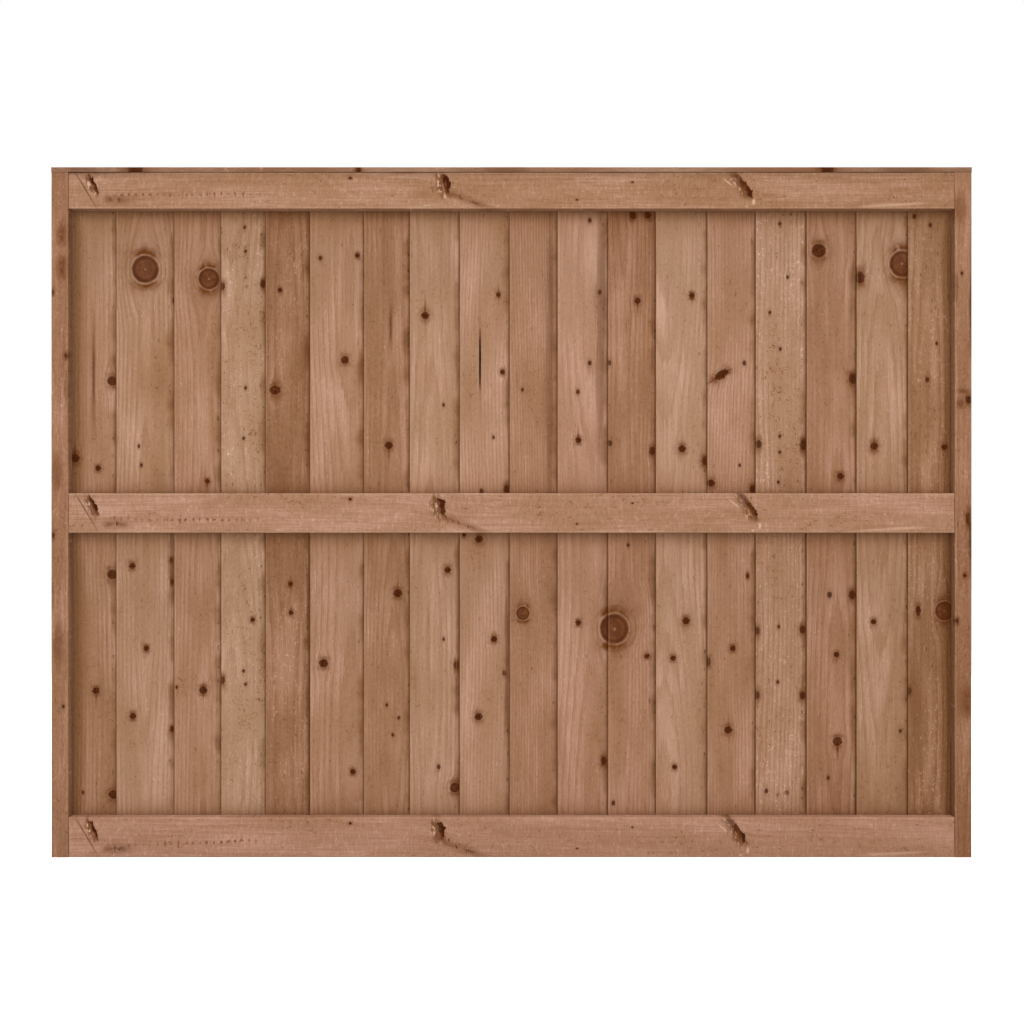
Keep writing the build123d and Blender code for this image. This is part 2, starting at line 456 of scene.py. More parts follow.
class FencePanelStage(bpy.types.PropertyGroup):
    """Floor, light and camera."""

    camera_distance: length("Camera distance", "From the rails' fronts to the camera", 3500.0)
    focal_length: share("Focal length", "Camera lens in millimetres", 61.98)
    key_power: share("Key light", "Power of the soft light in front, in watts", 197.0)
    top_power: share("Top light", "Power of the soft light overhead, in watts", 300.0)
    back_power: share("Back light", "Power of the soft light behind, in watts", 140.0)
    side_power: share("Side lights", "Power of each soft light beside the panel, in watts", 80.0)
    sky: share("Sky", "Strength of the even light from all round", 0.1)
    floor: colour("Floor", "Pale floor", (0.6, 0.6, 0.6))


# Node wiring


class Wire:
    """One output of a node. Python's operators on it lay Math nodes."""

    def __init__(self, bench, socket):
        self.bench = bench
        self.socket = socket

    def other(self, name):
        """Another output of the same node."""
        return Wire(self.bench, self.socket.node.outputs[name])

    def __add__(self, value):
        return self.bench.math("ADD", self, value)

    def __radd__(self, value):
        return self.bench.math("ADD", value, self)

    def __sub__(self, value):
        return self.bench.math("SUBTRACT", self, value)

    def __rsub__(self, value):
        return self.bench.math("SUBTRACT", value, self)

    def __mul__(self, value):
        return self.bench.math("MULTIPLY", self, value)

    def __rmul__(self, value):
        return self.bench.math("MULTIPLY", value, self)

    def __truediv__(self, value):
        return self.bench.math("DIVIDE", self, value)

    def __rtruediv__(self, value):
        return self.bench.math("DIVIDE", value, self)

    def __neg__(self):
        return self.bench.math("MULTIPLY", self, -1.0)

    def __abs__(self):
        return self.bench.math("ABSOLUTE", self)

    def __gt__(self, value):
        return self.bench.math("GREATER_THAN", self, value)


class Bench:
    """Lays the nodes of one tree and hands back their outputs as wires."""

    def __init__(self, tree):
        self.tree = tree

    def put(self, kind, settings=None, inputs=None, output=0):
        """Any node, from its type, its settings and the values or wires of its sockets."""
        node = self.tree.nodes.new(kind)
        for name, value in (settings or {}).items():
            setattr(node, name, value)
        for key, value in (inputs or {}).items():
            if isinstance(value, Wire):
                self.tree.links.new(value.socket, node.inputs[key])
            else:
                node.inputs[key].default_value = value
        return Wire(self, node.outputs[output]) if len(node.outputs) else None

    def math(self, operation, *values):
        return self.put("ShaderNodeMath", {"operation": operation}, dict(enumerate(values)))

    def fraction(self, value):
        return self.math("FRACT", value)

    def largest(self, *values):
        result = values[0]
        for value in values[1:]:
            result = self.math("MAXIMUM", result, value)
        return result

    def smallest(self, *values):
        result = values[0]
        for value in values[1:]:
            result = self.math("MINIMUM", result, value)
        return result

    def clamped(self, value):
        return self.put("ShaderNodeClamp", None, {"Value": value})

    def fade(self, value, start, end):
        """0 at the start and 1 at the end, eased, whichever of the two is higher."""
        return self.put(
            "ShaderNodeMapRange",
            {"interpolation_type": "SMOOTHSTEP"},
            {"Value": value, "From Min": start, "From Max": end},
        )

    def band(self, value, centre, half_width):
        """1 on a line and 0 beyond a half width from it."""
        return self.fade(abs(value - centre), half_width, 0.0)

    def vector(self, x, y, z):
        return self.put("ShaderNodeCombineXYZ", None, {"X": x, "Y": y, "Z": z})

    def split(self, vector):
        """The three parts of a vector."""
        parts = self.put("ShaderNodeSeparateXYZ", None, {"Vector": vector})
        return parts, parts.other("Y"), parts.other("Z")

    def attribute(self, name):
        return self.put("ShaderNodeAttribute", {"attribute_name": name}, output="Vector")

    def noise(self, x, y, z, detail=0.0):
        """Smooth noise about zero, from -0.5 to 0.5."""
        inputs = {"Vector": self.vector(x, y, z), "Scale": 1.0, "Detail": detail}
        return self.put("ShaderNodeTexNoise", None, inputs) - 0.5

    def grain(self, across, out, along, waves, shift, detail):
        """Noise drawn out along the grain, moved along it by a shift."""
        return self.noise(across * waves[0], out * waves[1], along * waves[2] + shift, detail)

    def distance(self, x, y):
        return self.math("SQRT", x * x + y * y)

    def mix(self, below, above, factor, blend="MIX"):
        """One colour or wire of colour over another."""
        settings = {"data_type": "RGBA", "blend_type": blend, "clamp_factor": False}
        below, above = (c if isinstance(c, Wire) else rgba(c) for c in (below, above))
        return self.put("ShaderNodeMix", settings, {0: factor, 6: below, 7: above}, output=2)

    def relief(self, height, strength, depth):
        """Normals that follow a height."""
        inputs = {"Strength": strength, "Distance": depth, "Height": height}
        return self.put("ShaderNodeBump", None, inputs, output="Normal")

    def surface(self, kind, inputs):
        """The shader that ends a material."""
        self.put("ShaderNodeOutputMaterial", None, {"Surface": self.put(kind, None, inputs)})


def cleared_bench(owner):
    """A bench on the emptied node tree of a material or a world."""
    owner.use_nodes = True
    owner.node_tree.nodes.clear()
    return Bench(owner.node_tree)


def group_inputs(bench, sockets):
    """Names a tree's inputs, each with the number it starts from or its kind, and gives their wires."""
    kinds = {float: "NodeSocketFloat", int: "NodeSocketInt"}
    for name, default in sockets.items():
        kind = kinds.get(type(default), default)
        socket = bench.tree.interface.new_socket(name, in_out="INPUT", socket_type=kind)
        if type(default) in kinds:
            socket.default_value = default
    node = bench.tree.nodes.new("NodeGroupInput")
    return {name: Wire(bench, node.outputs[name]) for name in sockets}


def group_output(bench, geometry, finish):
    """Ends a tree with its geometry made real and finished."""
    bench.tree.interface.new_socket("Geometry", in_out="OUTPUT", socket_type="NodeSocketGeometry")
    real = bench.put("GeometryNodeRealizeInstances", None, {"Geometry": geometry})
    finished = bench.put("GeometryNodeSetMaterial", None, {"Geometry": real, "Material": finish})
    bench.put("NodeGroupOutput", None, {"Geometry": finished})


# Sawing, by one tree that makes every tapered or square timber


def sawing_tree():
    """A closed timber in its own frame: X across, Y out of its thin side, Z along its grain."""
    tree = bpy.data.node_groups.new("sawn_timber", "GeometryNodeTree")
    bench = Bench(tree)
    sockets = {
        "Width": 0.1,
        "Thin Edge": 0.01,
        "Thick Edge": 0.01,
        "Length": 1.0,
        "Rows Across": 2,
        "Rows Out": 2,
        "Rows Along": 2,
        "Wander": 0.0,
        "Wander Length": 0.05,
        "Seed": 0.0,
        "Near Arris": 1.0,
        "Far Arris": 1.0,
        "Corner Arris": 0.1,
        "End Arris": 0.1,
        "Finish": "NodeSocketMaterial",
    }
    given = group_inputs(bench, sockets)
    box = bench.put(
        "GeometryNodeMeshCube",
        None,
        {
            "Size": bench.vector(given["Width"], 1.0, given["Length"]),
            "Vertices X": given["Rows Across"],
            "Vertices Y": given["Rows Out"],
            "Vertices Z": given["Rows Along"],
        },
    )
    x, y, z = bench.split(bench.put("GeometryNodeInputPosition"))
    across = x + given["Width"] / 2
    thickness = given["Thin Edge"] + (given["Thick Edge"] - given["Thin Edge"]) * across / given["Width"]
    sawn = bench.vector(across, (y + 0.5) * thickness, z + given["Length"] / 2)
    tapered = bench.put("GeometryNodeSetPosition", None, {"Geometry": box, "Position": sawn})
    place = bench.put("GeometryNodeInputPosition")
    stray = bench.put(
        "ShaderNodeTexNoise",
        {"noise_dimensions": "4D"},
        {"Vector": place, "W": given["Seed"], "Scale": 1 / given["Wander Length"], "Detail": 1.0},
    )
    inwards = bench.put(
        "ShaderNodeVectorMath",
        {"operation": "SCALE"},
        {0: bench.put("GeometryNodeInputNormal"), "Scale": -(stray * given["Wander"])},
    )
    strayed = bench.put("GeometryNodeSetPosition", None, {"Geometry": tapered, "Offset": inwards})
    marked = bench.put(
        "GeometryNodeStoreNamedAttribute",
        {"data_type": "FLOAT", "domain": "EDGE"},
        {"Geometry": strayed, "Name": "bevel_weight_edge", "Value": arris_weight(bench, given)},
    )
    group_output(bench, marked, given["Finish"])
    return tree


def arris_weight(bench, given):
    """Share of the arris that each of a timber's edges gets, by where the edge lies and runs."""
    ends = bench.put("GeometryNodeInputMeshEdgeVertices", output="Position 1")
    run = bench.put(
        "ShaderNodeVectorMath", {"operation": "SUBTRACT"}, {0: ends, 1: ends.other("Position 2")}
    )
    run_across, run_out, run_along = (abs(part) for part in bench.split(run))
    out = bench.split(ends)[1]
    corner_turn = 1.0
    sharp = bench.put("GeometryNodeInputMeshEdgeAngle", output="Unsigned Angle") > corner_turn
    lengthwise = bench.math("GREATER_THAN", run_along, run_across + run_out)
    cornerwise = bench.math("GREATER_THAN", run_out, run_across + run_along)
    crosswise = 1 - lengthwise - cornerwise
    far = bench.math("GREATER_THAN", out, given["Thin Edge"] * 0.5)
    long_share = given["Far Arris"] * far + given["Near Arris"] * (1 - far)
    weight = lengthwise * long_share + cornerwise * given["Corner Arris"] + crosswise * given["End Arris"]
    return sharp * weight


@dataclass
class Timber:
    """One timber: its sizes, and its place as the frame that its own axes stand in."""

    name: str
    width: float
    thin: float
    thick: float
    long: float
    place: Matrix
    seed: float


def frame_matrix(origin, across, out, along):
    """The place of a timber's own frame from its corner and its three axes."""
    axes = Matrix((across, out, along)).transposed()
    return Matrix.Translation(origin) @ axes.to_4x4()


def board_timber(name):
    """A board's taper, tilt and place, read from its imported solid's foot."""
    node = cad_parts[name]
    low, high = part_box(name)
    ground = low[2] + 0.01 * MM
    foot = {(round(v.co.x, 6), round(v.co.y, 6)) for v in node.data.vertices if v.co.z < ground}
    by_side = sorted(foot)
    thin_near, thin_far = sorted(by_side[:2], key=lambda corner: corner[1])
    thick_near, thick_far = sorted(by_side[-2:], key=lambda corner: corner[1])
    tilt = atan2(thick_near[1] - thin_near[1], thick_near[0] - thin_near[0])
    across = (cos(tilt), sin(tilt), 0.0)
    out = (-sin(tilt), cos(tilt), 0.0)
    place = frame_matrix((*thin_near, low[2]), across, out, (0.0, 0.0, 1.0))
    return Timber(
        name,
        hypot(thick_near[0] - thin_near[0], thick_near[1] - thin_near[1]),
        hypot(thin_far[0] - thin_near[0], thin_far[1] - thin_near[1]),
        hypot(thick_far[0] - thick_near[0], thick_far[1] - thick_near[1]),
        high[2] - low[2],
        place,
        float(name[-2:]),
    )


def square_timber(name, seed, across, out, along):
    """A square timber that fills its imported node's box, by the row axes that its own axes follow."""
    low, high = (Vector(corner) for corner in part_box(name))
    size = high - low
    origin = Vector([low[i] if across[i] + out[i] + along[i] > 0 else high[i] for i in range(3)])
    width, thickness, long = (abs(size.dot(Vector(axis))) for axis in (across, out, along))
    place = frame_matrix(origin, across, out, along)
    return Timber(name, width, thickness, thickness, long, place, seed)


def sawn_mesh(timber, arris, arrises, finish):
    """The timber's mesh in its own frame, by the sawing tree and a bevel."""
    sawing = bpy.context.scene.fence_sawing
    tree = bpy.data.node_groups.get("sawn_timber") or sawing_tree()
    blank = bpy.data.objects.new("blank", bpy.data.meshes.new("blank"))
    bpy.context.scene.collection.objects.link(blank)
    saw = blank.modifiers.new("saw", "NODES")
    saw.node_group = tree
    values = {
        "Width": timber.width,
        "Thin Edge": timber.thin,
        "Thick Edge": timber.thick,
        "Length": timber.long,
        "Rows Across": max(2, round(timber.width / sawing.cell) + 1),
        "Rows Out": max(2, round(timber.thin / sawing.cell) + 1),
        "Rows Along": max(2, round(timber.long / sawing.cell) + 1),
        "Wander": sawing.wander,
        "Wander Length": sawing.wander_length,
        "Seed": timber.seed,
        "Finish": finish,
        **arrises,
    }
    set_inputs(saw, tree, values)
    bevel = blank.modifiers.new("arris", "BEVEL")
    bevel.width = arris
    bevel.segments = 3
    bevel.limit_method = "WEIGHT"
    return plain_mesh(blank, timber.name)


def set_inputs(modifier, tree, values):
    """Sets a modifier's inputs by their sockets' identifiers."""
    for socket in tree.interface.items_tree:
        if socket.item_type == "SOCKET" and socket.in_out == "INPUT" and socket.name in values:
            modifier[socket.identifier] = values[socket.name]


def plain_mesh(blank, name):
    """The evaluated blank as a plain mesh, with the blank and its modifiers taken away."""
    bpy.context.view_layer.update()
    graph = bpy.context.evaluated_depsgraph_get()
    mesh = bpy.data.meshes.new_from_object(
        blank.evaluated_get(graph), preserve_all_data_layers=True, depsgraph=graph
    )
    mesh.name = name
    old = blank.data
    bpy.data.objects.remove(blank)
    bpy.data.meshes.remove(old)
    return mesh


# What each vertex of a timber knows about its wood


def vertex_places(mesh):
    """Every vertex's place in the timber's own frame."""
    places = np.empty(len(mesh.vertices) * 3)
    mesh.vertices.foreach_get("co", places)
    return places.reshape(-1, 3)


def write_vectors(mesh, name, x, y, z):
    """Stores three numbers with each vertex."""
    count = len(mesh.vertices)
    values = np.stack([np.broadcast_to(part, count) for part in (x, y, z)], axis=1)
    layer = mesh.attributes.new(name, "FLOAT_VECTOR", "POINT")
    layer.data.foreach_set("vector", np.ascontiguousarray(values, dtype=np.float32).ravel())


def write_marks(mesh, places, marks, prefix):
    """Stores, with each vertex, where it lies from the nearest of a timber's marks.

    The place is counted in the mark's own half widths, so a coarse mesh still carries it exactly,
    and the reach falls to 0 where another mark is as near.
    """
    clear_gap, full_gap = 8 * MM, 20 * MM
    far_away, least_radius = 1000.0, 0.02
    count = len(places)
    best = np.full(count, far_away)
    second = np.full(count, far_away)
    names = ("x", "z", "size", "depth", "ring", "halo", "up", "down")
    fields = {name: np.zeros(count) for name in names}
    fields["x"] += far_away
    for mark in marks:
        dx = places[:, 0] - mark.across * MM
        dz = places[:, 2] - mark.along * MM
        turn = radians(mark.turn)
        size = mark.size * MM
        x = (dx * cos(turn) + dz * sin(turn)) / size
        form = MARK_FORMS[mark.kind]
        z = (dz * cos(turn) - dx * sin(turn)) / (size * mark.stretch * form.tall)
        gap = np.hypot(dx, dz) * (1 - 1 / np.maximum(np.hypot(x, z), least_radius))
        nearer = gap < best
        second = np.where(nearer, best, np.minimum(second, gap))
        best = np.where(nearer, gap, best)
        found = (x, z, size, form.depth, form.ring, form.halo, mark.up, mark.down)
        for name, value in zip(fields, found):
            fields[name] = np.where(nearer, value, fields[name])
    reach = np.clip((second - best - clear_gap) / (full_gap - clear_gap), 0, 1)
    write_vectors(mesh, f"{prefix}_place", fields["x"], fields["z"], fields["size"])
    write_vectors(mesh, f"{prefix}_form", fields["depth"], fields["ring"], reach)
    write_vectors(mesh, f"{prefix}_tail", fields["up"], fields["down"], fields["halo"])


def write_stock(mesh, timber, stock, places, corners):
    """Stores the wood's own place, its tone, which is partly painted light, its pith and its corners with
    each vertex.

    A board's corners are its distances to the next board's edge, to the rail above, to the rail below
    and to the nearer stile, and the width that the board before it covers behind. A rail's first two
    are the distances to its nearer end and to the cap.
    """
    unchanged_share = 0.75
    write_vectors(mesh, "grain", places[:, 0], places[:, 1], places[:, 2])
    along_share = places[:, 2] / timber.long
    paleness = stock.paleness + stock.fade * (along_share - unchanged_share)
    write_vectors(mesh, "tone", paleness, stock.redness, timber.seed)
    write_vectors(mesh, "pith", stock.pith_across * MM, stock.pith_out * MM, stock.ring_pitch * MM)
    write_vectors(mesh, "sawn", stock.curly, 0.0, 0.0)
    right, above, below, stile, covered = corners
    write_vectors(mesh, "corner", right, above, below)
    write_vectors(mesh, "size", timber.width, stile, covered)


FAR_CORNERS = (1.0, 1.0, 1.0, 1.0, 0.0)


def marked_mesh(timber, arris, arrises, finish, knots, scars):
    """A sawn timber's mesh with its marks on it, and its vertices' places."""
    mesh = sawn_mesh(timber, arris, arrises, finish)
    places = vertex_places(mesh)
    write_marks(mesh, places, knots, "knot")
    write_marks(mesh, places, scars, "scar")
    return mesh, places


def finish_timber(mesh, timber):
    """Puts a timber in its place as a piece that stands for its node."""
    finish_piece(f"{timber.name}_timber", mesh, 8.0, timber.place, timber.name)


def finish_piece(name, mesh, sharp_degrees, place, node):
    """A piece that stands for its node, smooth but for its sharp edges."""
    mesh.shade_smooth()
    mesh.set_sharp_from_angle(angle=radians(sharp_degrees))
    mesh.transform(place)
    mesh.update()
    piece = bpy.data.objects.new(name, mesh)
    bpy.context.scene.collection.objects.link(piece)
    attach(piece, "root")
    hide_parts(node)


# Treated softwood

# Waves per metre of each noise across, out of and along the grain, or across and along it
SAWN_FUZZ = (260, 260, 130)
ROLLED_FUZZ = (70, 260, 240)
STREAKS = (190, 60, 4)
FIBRES = (600, 300, 30)
LEAN = (4, 1.6)
MOTTLE = (17, 5)
CURLS = (95, 70)
PATCHES = (9, 16)
SPECKS = (90, 60)


@dataclass
class Look:
    """How one kind of timber differs in its sawing and its treatment.

    The first seven are strengths: of its streaks, yearly rings, patches, torn fibres, resin spots,
    pale edges (partly worn fibres, partly a painted highlight) and relief. Under is the painted shade
    along a rail's lower edge. On a shallow timber the marks stay near the front.
    """

    streak: float
    ring: float
    mottle: float
    fuzz: float
    speck: float
    edge: float
    bump: float
    dust: float = 0.0
    under: float = 0.0
    lapped: bool = False
    roller_dots: bool = False
    shallow: bool = False


BOARD_LOOK = Look(1.35, 0.65, 2.7, 0.8, 0.8, 0.22, 0.35, lapped=True)
RAIL_LOOK = Look(1.3, 0.3, 1.9, 1.2, 0.7, 0.3, 0.5, under=0.15, roller_dots=True)
STILE_LOOK = Look(1.6, 0.6, 1.9, 1.2, 0.7, 0.25, 0.5, shallow=True)
CAP_LOOK = Look(2.0, 0.3, 3.0, 1.0, 1.0, 0.1, 0.5, dust=0.3)


def softwood(name, look):
    """Stained softwood whose grain, rings and knots follow what each vertex knows."""
    colours = bpy.context.scene.fence_stain
    material = bpy.data.materials.new(name)
    bench = cleared_bench(material)
    across, out, along = bench.split(bench.attribute("grain"))
    paleness, redness, seed = bench.split(bench.attribute("tone"))
    right, above, below = bench.split(bench.attribute("corner"))
    width, stile, covered = bench.split(bench.attribute("size"))
    curly = bench.split(bench.attribute("sawn"))[0]
    strokes = ROLLED_FUZZ if look.roller_dots else SAWN_FUZZ
    fuzz = bench.grain(across, out, along, strokes, seed, detail=2.0)
    skin_deep = bench.fade(out, 24 * MM, 6 * MM) if look.shallow else 1.0
    knot = mark_shapes(bench, "knot", seed, fuzz, skin_deep, ringed=True, torn_too=not look.lapped)
    scar = mark_shapes(bench, "scar", seed + 0.5, fuzz, skin_deep, ringed=look.shallow, torn_too=True)
    lean = bench.noise(across * LEAN[0], seed * 3.1, along * LEAN[1])
    bent = across - knot["shift"] + lean * (12 * MM)
    streak = bench.grain(bent, out, along, STREAKS, seed * 7.7, detail=2.0)
    late = growth_rings(bench, bent, out, along, streak)
    fibre = bench.grain(bent, out, along, FIBRES, seed * 3.3, detail=1.0)
    mottle = bench.noise(bent * MOTTLE[0], seed * 5.3, along * MOTTLE[1], detail=2.0)
    figure = bench.clamped(0.75 + mottle * 5)
    tone = (
        paleness
        + streak * look.streak * (0.5 + figure * 0.7)
        + mottle * look.mottle
        + fibre * look.streak * figure
        + fuzz * look.fuzz
        + saw_curls(bench, across, along, seed, fuzz, mottle) * curly
        - late * look.ring * figure
        - knot["onion"] * 0.5
    )
    wood = bench.mix(colours.dark, colours.pale, bench.largest(tone, 0.0))
    wood = bench.mix(wood, colours.deep, bench.clamped(-tone))
    wood = bench.mix(wood, colours.tint, redness + mottle * 2.2, blend="MULTIPLY")
    if look.dust:
        wood = bench.mix(wood, colours.dust, bench.clamped(look.dust + mottle))
    front = bench.fade(out, 4 * MM, 2 * MM) if look.lapped else 1.0
    seam = bench.fade(right, 20 * MM, 0.0) * front
    crowd = (curly - 0.8) * 0.06
    wood = speckled(bench, wood, across, along, seed, seam, fuzz, crowd, look.speck)
    if look.roller_dots:
        wood = bench.mix(wood, colours.knot, roller_row(bench, across, along, streak, fuzz, mottle))
    wood = knotted(bench, wood, knot, streak)
    wood = knotted(bench, wood, scar, streak)
    if look.lapped:
        # Painted shade: the front darkens at the seams, by the rails and beside the stiles, the back
        # darkens beside the lap of the board before, and the deepest shade is tinted warmer.
        painted_shade = board_painted_shade(bench, across, along, seed, right, above, below, stile)
        behind = bench.fade(across - covered, 14 * MM, -2 * MM) * (1 - front) * 0.45
        shade_share = bench.clamped((painted_shade * front + behind) * (1 + mottle + fuzz))
        wood = bench.mix(wood, colours.damp, bench.clamped(shade_share * 2), blend="MULTIPLY")
        wood = bench.mix(wood, colours.shade_colour, shade_share)
    # Painted shade on a rail: along its lower arris, under the cap on the top rail, and at its ends where
    # they butt against the stiles.
    if look.under:
        under_cap = bench.math("EXPONENT", above / (-3 * MM)) * (mottle * 6 + 0.45)
        butt = bench.fade(right, 2.4 * MM, 0.0) * (0.55 + mottle * 2)
        under = bench.largest(bench.fade(across, 2.5 * MM, 0.0) * look.under, under_cap, butt)
        wood = bench.mix(wood, colours.shade_colour, bench.clamped(under))
    # A pale band along the arrises, partly pale worn fibres and partly a painted highlight where the
    # light catches the edge.
    rim = across if look.lapped else bench.smallest(across, width - across)
    edge = bench.band(rim, 2.4 * MM, 1.6 * MM) * front * look.edge
    wood = bench.mix(wood, colours.ring, edge * (0.75 + streak + fuzz))
    skin = {
        "Base Color": wood,
        "Roughness": bench.clamped(0.85 + fuzz * 0.2 - knot["core"] * 0.2),
        "Specular IOR Level": 0.04,
        "Normal": bench.relief(fuzz, look.bump, 1.4 * MM),
    }
    bench.surface("ShaderNodeBsdfPrincipled", skin)
    return material


def growth_rings(bench, across, out, along, streak):
    """Dark latewood of the yearly rings about a pith that strays along the timber."""
    pith_across, pith_out, pitch = bench.split(bench.attribute("pith"))
    drift = bench.noise(pith_across * 90, pith_out * 90, along * 1.3) * (60 * MM)
    radius = bench.distance(across - pith_across, out + pith_out + drift)
    phase = bench.fraction(radius / pitch + streak * 0.5)
    return bench.fade(phase, 0.4, 0.85) * bench.fade(phase, 1.0, 0.9) * (0.8 + streak * 1.5)


def saw_curls(bench, across, along, seed, fuzz, mottle):
    """Short pale curls and darker hollows that the saw left, where the wood is right for each."""
    swirl = bench.noise(across * CURLS[0], along * CURLS[1], seed * 2.9, detail=1.0)
    curl = bench.band(swirl, 0.08, 0.02) * bench.fade(mottle + fuzz, -0.05, 0.15)
    hollow = bench.band(swirl, -0.09, 0.02) * bench.fade(mottle - fuzz, 0.05, -0.15)
    return curl * 0.8 - hollow * 1.2


def board_painted_shade(bench, across, along, seed, right, above, below, stile):
    """Painted shade at a board's seams, under and over the rails and beside the stiles."""
    patch = bench.noise(seed * 4.7, along * PATCHES[1], across * PATCHES[0], detail=2.0)
    return bench.largest(
        bench.fade(right, patch * (50 * MM) + 14 * MM, -3 * MM) * (0.42 + patch * 1.6),
        bench.math("EXPONENT", above / (-26 * MM)) * (0.38 + bench.fade(along, 0.8, 1.2) * 0.16),
        bench.math("EXPONENT", below / (-12 * MM)) * 0.36,
        bench.fade(stile, 38 * MM, 6 * MM) * 0.48,
        bench.fade(right, 5 * MM, 0.0) * (0.6 + patch),
        bench.fade(across, 1.8 * MM, 0.0) * 0.5,
    )


def mark_shapes(bench, prefix, seed, fuzz, skin_deep, ringed, torn_too):
    """Masks of the nearest mark, and how far it bends the grain.

    Distances from a mark are counted in its own half widths. A timber whose marks have no rings, or no
    torn, dotted and pale ones, goes without their nodes.
    """
    x, z, size = bench.split(bench.attribute(f"{prefix}_place"))
    depth, ring, reach = bench.split(bench.attribute(f"{prefix}_form"))
    up, down, halo = bench.split(bench.attribute(f"{prefix}_tail"))
    reach = reach * skin_deep
    around = halo * reach
    radius = bench.distance(x, z)
    torn = plain = dotted = pale = 0.0
    if torn_too:
        torn = bench.clamped(-ring)
        plain = bench.fade(abs(depth), 0.4, 0.25)
        dotted = bench.band(depth, 0.75, 0.05) * bench.fade(fuzz, 0.1, -0.04)
        pale = bench.clamped(-depth)
    if ringed:
        ring = bench.clamped(ring)
    else:
        ring = up = down = 0.0
    soft = (1 - ring) * (1 - torn)

    near_edge = 0.5 + radius * 0.5
    ragged = bench.noise(x * 1.9 / near_edge, z * 1.9 / near_edge, seed * 9.1 + size * 500, detail=2.0)
    ragged = ragged + fuzz * torn * 0.7
    rough_radius = radius * (1 + ragged * (0.8 - ring * 0.72 + torn * 0.8))

    dim = bench.fade(x + ragged * 2, 0.5, -0.6) * torn
    lit = bench.fade(x + ragged, 0.15, -0.35) * bench.fade(ragged, 0.04, 0.14) * torn
    whole = bench.fade(rough_radius, 1.07 + soft * 0.25, 0.95 - soft * 0.5) * reach
    core = whole * (1 - dim) * (1 - lit) * (1 - dotted)
    rim = bench.band(rough_radius, 0.88, 0.26) * bench.fade(depth, 0.78, 0.88) * reach * (1 - torn)

    outside = bench.largest(bench.fade(radius * (1 + ragged * 0.5), 1.04, 1.22), 1 - ring)
    steep = bench.fade(abs(z) / bench.largest(radius, 0.01), 0.45, 0.95) * (0.5 + ring * 0.9) * (1 - torn)
    near = bench.fade(radius * (1 + ragged * 0.8), 2.6 - ring * 0.6, 0.9)
    smudge = near * outside * bench.largest(steep, plain * 0.4) * bench.clamped(0.75 + ragged * 3)
    long_radius = bench.math("SQRT", x * x + z * z * (0.5 + torn * 0.6)) * (1 + ragged * 1.4)
    glow = bench.fade(long_radius, 2.5 - torn * 0.6, 0.8) * (1.2 - ring * 0.5)
    glow = glow * (1 - torn * bench.fade(x, 0.3, 1.3))

    narrow = bench.fade(abs(x) + ragged * 0.2, 0.36, 0.05)
    tail_up = bench.fade(z, 7.5, 1.0) * bench.fade(z, 0.0, 0.6) * up
    tail_down = bench.fade(z, -7.5, -1.0) * bench.fade(z, 0.0, -0.6) * down
    flow = bench.fade(radius, 6.0, 1.5) / bench.largest(x * x + z * z * 0.16, 1.0)
    years = bench.fade(bench.math("SINE", rough_radius * 17), 0.0, 1.0) * ring
    pale_ring = bench.band(radius * (1 + ragged * 0.2), soft * 0.2 + 1.13, soft * 0.2 + 0.07)
    heart = ring * ring + ragged * 2.5 + bench.band(radius, 0.6, 0.25) * soft * 0.6
    return {
        "core": core * bench.clamped(depth),
        "pale": whole * pale + bench.fade(radius, 1.7, 1.1) * lit * reach,
        "rim": rim * (0.55 + soft * 0.4),
        "ring": pale_ring * bench.clamped(0.65 + ragged * 4) * bench.clamped(ring * 1.5) * reach,
        "halo": glow * around,
        "smudge": smudge * around,
        "tail": narrow * (tail_up + tail_down) * reach,
        "split": bench.fade(rough_radius, 1.0, 0.6) * bench.fade(depth, 1.05, 1.25) * reach,
        "heart": heart * bench.clamped(ring * 3) + bench.fade(depth, 0.5, 0.44) * 0.5,
        "pith": bench.fade(radius + ragged * 0.3, 0.14, 0.04) * ring * reach,
        "years": years * core,
        "crack": bench.band(ragged, 0.03, 0.03) * bench.fade(radius, 0.6, 0.2) * ring * reach,
        "onion": years * outside * bench.fade(radius, 2.4, 1.2) * around,
        "shift": x * size * flow * reach * 0.85,
    }


def knotted(bench, wood, mark, streak):
    """The wood with its knots, splits and smudges laid over it."""
    colours = bpy.context.scene.fence_stain
    stained = mark["halo"] * 0.4 + mark["smudge"] * (1.15 + streak * 4) + mark["tail"] * 0.8
    lines = mark["rim"] * 0.75 + mark["years"] * 0.12 + mark["crack"] * 0.5
    wood = bench.mix(wood, colours.halo, bench.clamped(stained))
    wood = bench.mix(wood, colours.ring, mark["ring"] * 0.25)
    wood = bench.mix(wood, colours.chip, bench.clamped(mark["pale"]))
    heart = bench.mix(colours.rim, colours.knot, mark["heart"])
    wood = bench.mix(wood, heart, mark["core"])
    wood = bench.mix(wood, colours.rim, bench.clamped(lines))
    wood = bench.mix(wood, colours.dark, mark["pith"] * 0.6)
    return bench.mix(wood, colours.split, mark["split"])


def speckled(bench, wood, across, along, seed, seam, fuzz, crowd, amount):
    """Small resin spots and pale flecks, scattered over the wood and thicker along a seam."""
    colours = bpy.context.scene.fence_stain
    place = bench.vector(across * SPECKS[0] + seed * 13.7, along * SPECKS[1] + fuzz * 1.5, 0.0)
    settings = {"voronoi_dimensions": "2D"}
    spots = bench.put("ShaderNodeTexVoronoi", settings, {"Vector": place, "Scale": 1.0})
    dark_pick, pale_pick, spread = bench.split(spots.other("Color"))
    reach = spread * 0.16 + seam * 0.12 + 0.06
    dark_spot = bench.fade(spots, reach, 0.03) * bench.fade(dark_pick + seam * 0.12 + crowd, 0.7, 1.15)
    pale_spot = bench.fade(spots, 0.14, 0.04) * bench.fade(pale_pick, 0.75, 1.05) * 0.8
    wood = bench.mix(wood, colours.rim, dark_spot * amount)
    return bench.mix(wood, colours.ring, pale_spot * amount)


